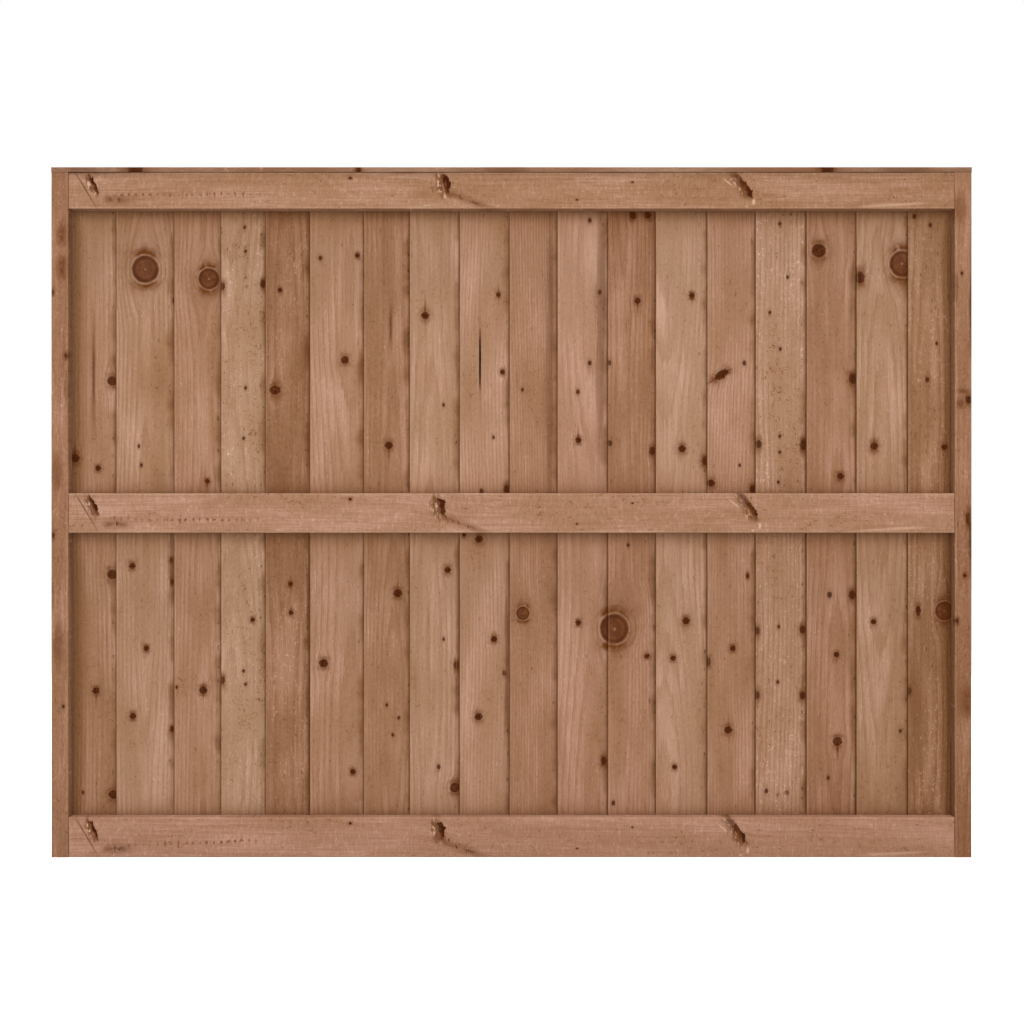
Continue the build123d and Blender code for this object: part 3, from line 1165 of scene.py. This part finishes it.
def roller_row(bench, across, along, streak, fuzz, mottle):
    """The row of dents that the saw's feed roller left along a rail."""
    pitch, height, first, last = 14.2 * MM, 25.5 * MM, 60 * MM, 430 * MM
    step = (bench.fraction(along / pitch + mottle * 0.8) - 0.5) * pitch
    gap = bench.distance(step, across - height - mottle * (30 * MM)) * (1 + fuzz * 3)
    span = bench.fade(along, first, first + 40 * MM) * bench.fade(along, last, last - 120 * MM)
    return bench.fade(gap, 3.8 * MM, 1.0 * MM) * span * bench.clamped(0.4 + (streak + mottle) * 4) * 0.8


def galvanised():
    """Dull zinc on the nails."""
    material = bpy.data.materials.new("dull_zinc")
    bench = cleared_bench(material)
    x, y, z = bench.split(bench.put("ShaderNodeTexCoord", output="Object"))
    fine, coarse = 900, 420
    bloom = bench.noise(x * fine, y * fine, z * fine, detail=3.0)
    dents = bench.noise(x * coarse, y * coarse, z * coarse, detail=1.0)
    zinc = bench.mix(stain(112, 110, 106), stain(162, 160, 155), bench.clamped(0.5 + bloom * 2))
    skin = {
        "Base Color": zinc,
        "Metallic": 0.8,
        "Roughness": bench.clamped(0.5 + bloom),
        "Normal": bench.relief(dents + bloom, 0.4, 0.4 * MM),
    }
    bench.surface("ShaderNodeBsdfPrincipled", skin)
    return material


# Nails, by one tree that drives them all


def nailing_tree():
    """One nail on every point of a mesh, with its head on the point and its shank down its axis."""
    tree = bpy.data.node_groups.new("driven_nails", "GeometryNodeTree")
    bench = Bench(tree)
    sockets = {
        "Points": "NodeSocketGeometry",
        "Head": 0.005,
        "Shank": 0.0025,
        "Head Thickness": 0.001,
        "Length": 0.04,
        "Sides": 12,
        "Finish": "NodeSocketMaterial",
    }
    given = group_inputs(bench, sockets)
    head, shank, thickness = given["Head"] / 2, given["Shank"] / 2, given["Head Thickness"]
    profile = (
        (shank * 0.12, -given["Length"]),
        (shank, shank * 4 - given["Length"]),
        (shank, -thickness),
        (head * 0.96, -thickness),
        (head, thickness * -0.75),
        (head * 0.97, thickness * -0.35),
        (head * 0.7, thickness * -0.08),
        (head * 0.25, 0.0),
    )
    near_enough = 0.4
    steps = len(profile) - 1
    rod = bench.put(
        "GeometryNodeMeshCylinder",
        {"fill_type": "NGON"},
        {"Vertices": given["Sides"], "Side Segments": steps, "Radius": 1.0, "Depth": float(steps)},
    )
    x, y, z = bench.split(bench.put("GeometryNodeInputPosition"))
    step = z + steps / 2
    radius = along = 0.0
    for number, (wide, place) in enumerate(profile):
        here = bench.math("COMPARE", step, number, near_enough)
        radius = here * wide + radius
        along = here * place + along
    outline = bench.vector(x * radius, y * radius, along)
    turned = bench.put("GeometryNodeSetPosition", None, {"Geometry": rod, "Position": outline})
    axis = bench.put("GeometryNodeInputNamedAttribute", {"data_type": "FLOAT_VECTOR"}, {"Name": "axis"})
    stand = bench.put("FunctionNodeAlignRotationToVector", {"axis": "Z"}, {"Vector": axis})
    driven = bench.put(
        "GeometryNodeInstanceOnPoints",
        None,
        {"Points": given["Points"], "Instance": turned, "Rotation": stand},
    )
    group_output(bench, driven, given["Finish"])
    return tree


def nail_seats(node):
    """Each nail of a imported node: its head's outside, the way that it faces, and its length."""
    copy = bmesh.new()
    copy.from_mesh(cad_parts[node].data)
    bmesh.ops.remove_doubles(copy, verts=copy.verts, dist=0.001 * MM)
    seats = []
    left = set(copy.verts)
    while left:
        nail = {left.pop()}
        edge_of_search = set(nail)
        while edge_of_search:
            found = {edge.other_vert(v) for v in edge_of_search for edge in v.link_edges}
            edge_of_search = found - nail
            nail |= found
        left -= nail
        points = np.array([tuple(v.co) for v in nail])
        middle = points.mean(axis=0)
        tip = points[np.argmax(np.linalg.norm(points - middle, axis=1))]
        depths = np.linalg.norm(points - tip, axis=1)
        head = points[depths > depths.max() - 0.5 * MM].mean(axis=0)
        seats.append((head, (head - tip) / np.linalg.norm(head - tip), np.linalg.norm(head - tip)))
    copy.free()
    return sorted(seats, key=lambda seat: tuple(seat[0].round(4)))


def drive_nails(node, head, shank, finish):
    """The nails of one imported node, made anew in its place."""
    sizes = bpy.context.scene.fence_nails
    seats = nail_seats(node)
    mesh = bpy.data.meshes.new(f"{node}_points")
    mesh.from_pydata([tuple(seat[0]) for seat in seats], [], [])
    axes = mesh.attributes.new("axis", "FLOAT_VECTOR", "POINT")
    axes.data.foreach_set("vector", np.array([seat[1] for seat in seats], dtype=np.float32).ravel())
    blank = bpy.data.objects.new("blank", mesh)
    bpy.context.scene.collection.objects.link(blank)
    tree = bpy.data.node_groups.get("driven_nails") or nailing_tree()
    driver = blank.modifiers.new("driver", "NODES")
    driver.node_group = tree
    values = {
        "Head": head,
        "Shank": shank,
        "Head Thickness": sizes.head_thickness,
        "Length": float(seats[0][2]),
        "Sides": sizes.sides,
        "Finish": finish,
    }
    set_inputs(driver, tree, values)
    nails = plain_mesh(blank, node)
    finish_piece(f"{node}_driven", nails, 30.0, Matrix.Identity(4), node)


# Operators, one for each piece or group of like pieces


class FENCE_OT_boards(bpy.types.Operator):
    """Saw, stain and stand the lapped feather-edge boards"""

    bl_idname = "fence.boards"
    bl_label = "Stand the boards"

    def execute(self, context):
        sawing = context.scene.fence_sawing
        finish = softwood("stained_board", BOARD_LOOK)
        arrises = {"Near Arris": 1.0, "Far Arris": 1.0, "Corner Arris": 0.6, "End Arris": 0.6}
        timbers = [board_timber(name) for name in BOARD_NAMES]
        for before, timber, beside in zip([None] + timbers, timbers, timbers[1:] + [None]):
            marks = BOARD_MARKS[timber.name]
            knots = [mark for mark in marks if mark.kind not in SCAR_KINDS]
            scars = [mark for mark in marks if mark.kind in SCAR_KINDS]
            mesh, places = marked_mesh(timber, sawing.board_arris, arrises, finish, knots, scars)
            corners = board_corners(before, timber, beside, places)
            write_stock(mesh, timber, BOARD_STOCK[timber.name], places, corners)
            finish_timber(mesh, timber)
        return {"FINISHED"}


def board_corners(before, timber, beside, places):
    """How far each vertex of a board lies from the timbers that it meets, as write_stock takes them."""
    start = timber.place.translation.x
    covered = before.place.translation.x + before.width - start if before else 0.0
    left_stile, right_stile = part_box("left_stile")[1][0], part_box("right_stile")[0][0]
    right_side = beside.place.translation.x if beside else right_stile
    right = right_side - start - places[:, 0]
    from_left = start + places[:, 0] - left_stile
    from_right = right_stile - start - places[:, 0]
    narrower_right = 1.4
    stile = np.minimum(from_left, from_right * narrower_right)
    hidden = 12 * MM
    above = np.full(len(places), 1.0)
    below = np.full(len(places), 1.0)
    for name in RAIL_NAMES:
        low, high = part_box(name)
        under = low[2] - places[:, 2]
        over = places[:, 2] - high[2]
        above = np.where(under > -hidden, np.minimum(above, np.maximum(under, 0)), above)
        below = np.where(over > -hidden, np.minimum(below, np.maximum(over, 0)), below)
    return right, above, below, stile, covered


class FENCE_OT_rails(bpy.types.Operator):
    """Saw, stain and set the three rails"""

    bl_idname = "fence.rails"
    bl_label = "Set the rails"

    def execute(self, context):
        sawing = context.scene.fence_sawing
        finish = softwood("stained_rail", RAIL_LOOK)
        arrises = {"Near Arris": 1.0, "Far Arris": 1.0, "Corner Arris": 0.12, "End Arris": 0.12}
        for number, name in enumerate(RAIL_NAMES):
            timber = square_timber(name, 31.0 + number, (0, 0, 1), (0, -1, 0), (1, 0, 0))
            height = timber.width / MM
            knots, scars = rail_knots(height, *RAIL_SHIFTS[name]), rail_scars(height, *RAIL_SHIFTS[name])
            mesh, places = marked_mesh(timber, sawing.rail_arris, arrises, finish, knots, scars)
            under_cap = timber.width - places[:, 0] if name == "top_rail" else 1.0
            butt = np.minimum(places[:, 2], timber.long - places[:, 2])
            write_stock(mesh, timber, RAIL_STOCK[name], places, (butt, under_cap, *FAR_CORNERS[2:]))
            finish_timber(mesh, timber)
        return {"FINISHED"}


class FENCE_OT_stiles(bpy.types.Operator):
    """Saw, stain and stand the two stiles"""

    bl_idname = "fence.stiles"
    bl_label = "Stand the stiles"

    def execute(self, context):
        sawing = context.scene.fence_sawing
        finish = softwood("stained_stile", STILE_LOOK)
        arrises = {"Near Arris": 1.0, "Far Arris": 1.0, "Corner Arris": 0.15, "End Arris": 0.15}
        for number, name in enumerate(STILE_NAMES):
            timber = square_timber(name, 41.0 + number, (1, 0, 0), (0, 1, 0), (0, 0, 1))
            knots, scars = STILE_KNOTS[name], STILE_SCARS[name]
            mesh, places = marked_mesh(timber, sawing.stile_arris, arrises, finish, knots, scars)
            write_stock(mesh, timber, STILE_STOCK[name], places, FAR_CORNERS)
            finish_timber(mesh, timber)
        return {"FINISHED"}


class FENCE_OT_cap(bpy.types.Operator):
    """Saw, stain and lay the capping strip"""

    bl_idname = "fence.cap"
    bl_label = "Lay the cap"

    def execute(self, context):
        sawing = context.scene.fence_sawing
        finish = softwood("stained_cap", CAP_LOOK)
        arrises = {"Near Arris": 0.0, "Far Arris": 1.0, "Corner Arris": 0.5, "End Arris": 0.0}
        timber = square_timber("cap_strip", 51.0, (0, 1, 0), (0, 0, 1), (1, 0, 0))
        mesh, places = marked_mesh(timber, sawing.cap_arris, arrises, finish, CAP_KNOTS, ())
        write_stock(mesh, timber, CAP_STOCK, places, FAR_CORNERS)
        finish_timber(mesh, timber)
        return {"FINISHED"}


class FENCE_OT_nails(bpy.types.Operator):
    """Drive the galvanised nails of the frame, the boards and the cap"""

    bl_idname = "fence.nails"
    bl_label = "Drive the nails"

    def execute(self, context):
        sizes = context.scene.fence_nails
        finish = galvanised()
        drive_nails("frame_nails", sizes.frame_head, sizes.frame_shank, finish)
        drive_nails("board_nails", sizes.board_head, sizes.board_shank, finish)
        drive_nails("cap_nails", sizes.board_head, sizes.board_shank, finish)
        return {"FINISHED"}


class FENCE_OT_stage(bpy.types.Operator):
    """Lay the floor, hang the lights and stand the camera"""

    bl_idname = "fence.stage"
    bl_label = "Set the stage"

    def execute(self, context):
        lay_floor(context.scene)
        fill_sky(context.scene)
        hang_lights(context.scene)
        stand_camera(context.scene)
        return {"FINISHED"}


WHITE = (1.0, 1.0, 1.0, 1.0)


def lay_floor(scene):
    """A wide pale floor under the panel."""
    half, glow = 12.0, 0.93
    mesh = bpy.data.meshes.new("floor")
    corners = ((-half, -half, 0.0), (half, -half, 0.0), (half, half, 0.0), (-half, half, 0.0))
    mesh.from_pydata(corners, [], [(0, 1, 2, 3)])
    material = bpy.data.materials.new("pale_floor")
    bench = cleared_bench(material)
    seen = bench.put("ShaderNodeLightPath", output="Is Camera Ray")
    matt = bench.put("ShaderNodeBsdfDiffuse", None, {"Color": rgba(scene.fence_stage.floor)})
    bright = bench.put("ShaderNodeEmission", None, {"Color": WHITE, "Strength": glow})
    both = bench.put("ShaderNodeAddShader", None, {0: matt, 1: bright})
    bench.surface("ShaderNodeMixShader", {0: seen, 1: matt, 2: both})
    mesh.materials.append(material)
    floor = bpy.data.objects.new("floor", mesh)
    scene.collection.objects.link(floor)


def fill_sky(scene):
    """White to the eye, and a weak even light on the panel."""
    world = bpy.data.worlds.new("studio")
    bench = cleared_bench(world)
    seen = bench.put("ShaderNodeLightPath", output="Is Camera Ray")
    strength = seen * (1.0 - scene.fence_stage.sky) + scene.fence_stage.sky
    sky = bench.put("ShaderNodeBackground", None, {"Color": WHITE, "Strength": strength})
    bench.put("ShaderNodeOutputWorld", None, {"Surface": sky})
    scene.world = world


def hang_lights(scene):
    """A wall of soft light in front, one overhead, and weaker ones behind and beside the far face."""
    stage = scene.fence_stage
    softboxes = (
        ("front_softbox", (0.0, -3.9, 2.2), (90, 0), (6.4, 4.4), stage.key_power),
        ("top_softbox", (0.0, -0.3, 6.0), (0, 0), (4.0, 2.0), stage.top_power),
        ("back_softbox", (0.0, 3.9, 2.5), (90, 180), (6.4, 4.8), stage.back_power),
        ("left_softbox", (-4.2, 1.5, 2.0), (90, -90), (2.4, 3.0), stage.side_power),
        ("right_softbox", (4.2, 1.5, 2.0), (90, 90), (2.4, 3.0), stage.side_power),
    )
    for name, place, (tilt, turn), (width, height), power in softboxes:
        light = bpy.data.lights.new(name, "AREA")
        light.shape = "RECTANGLE"
        light.size = width
        light.size_y = height
        light.energy = power
        lamp = bpy.data.objects.new(name, light)
        scene.collection.objects.link(lamp)
        lamp.location = place
        lamp.rotation_euler = (radians(tilt), 0.0, radians(turn))


def stand_camera(scene):
    """The photograph's view: level, square to the rails and at the panel's middle height."""
    stage = scene.fence_stage
    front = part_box("middle_rail")[0][1]
    across, up = 1.0 * MM, CAD_HIGH[2] / 2 + 0.6 * MM
    sensor_width = 36.0
    data = bpy.data.cameras.new("camera")
    data.sensor_width = sensor_width
    data.sensor_fit = "HORIZONTAL"
    data.lens = stage.focal_length
    camera = bpy.data.objects.new("camera", data)
    camera.location = (across, front - stage.camera_distance, up)
    camera.rotation_euler = (pi / 2, 0.0, 0.0)
    scene.collection.objects.link(camera)
    scene.camera = camera
    scene.view_settings.view_transform = "Standard"


class FENCE_PT_panel(bpy.types.Panel):
    """Lists the fence panel's operators and settings"""

    bl_idname = "FENCE_PT_panel"
    bl_label = "Fence panel"
    bl_space_type = "VIEW_3D"
    bl_region_type = "UI"
    bl_category = "Fence panel"

    def draw(self, context):
        layout = self.layout
        for operator in OPERATORS:
            layout.operator(operator.bl_idname)
        for name, group in GROUPS.items():
            box = layout.box()
            settings = getattr(context.scene, name)
            for prop in group.__annotations__:
                box.prop(settings, prop)


OPERATORS = (
    FENCE_OT_boards,
    FENCE_OT_rails,
    FENCE_OT_stiles,
    FENCE_OT_cap,
    FENCE_OT_nails,
    FENCE_OT_stage,
)
GROUPS = {
    "fence_sawing": FencePanelSawing,
    "fence_stain": FencePanelStain,
    "fence_nails": FencePanelNails,
    "fence_stage": FencePanelStage,
}


def register():
    for name, group in GROUPS.items():
        bpy.utils.register_class(group)
        setattr(bpy.types.Scene, name, bpy.props.PointerProperty(type=group))
    for item in (*OPERATORS, FENCE_PT_panel):
        bpy.utils.register_class(item)


def unregister():
    for item in reversed((*OPERATORS, FENCE_PT_panel)):
        bpy.utils.unregister_class(item)
    for name, group in GROUPS.items():
        delattr(bpy.types.Scene, name)
        bpy.utils.unregister_class(group)


def main():
    register()
    bpy.ops.fence.boards()
    bpy.ops.fence.rails()
    bpy.ops.fence.stiles()
    bpy.ops.fence.cap()
    bpy.ops.fence.nails()
    bpy.ops.fence.stage()


if __name__ == "__main__":
    main()
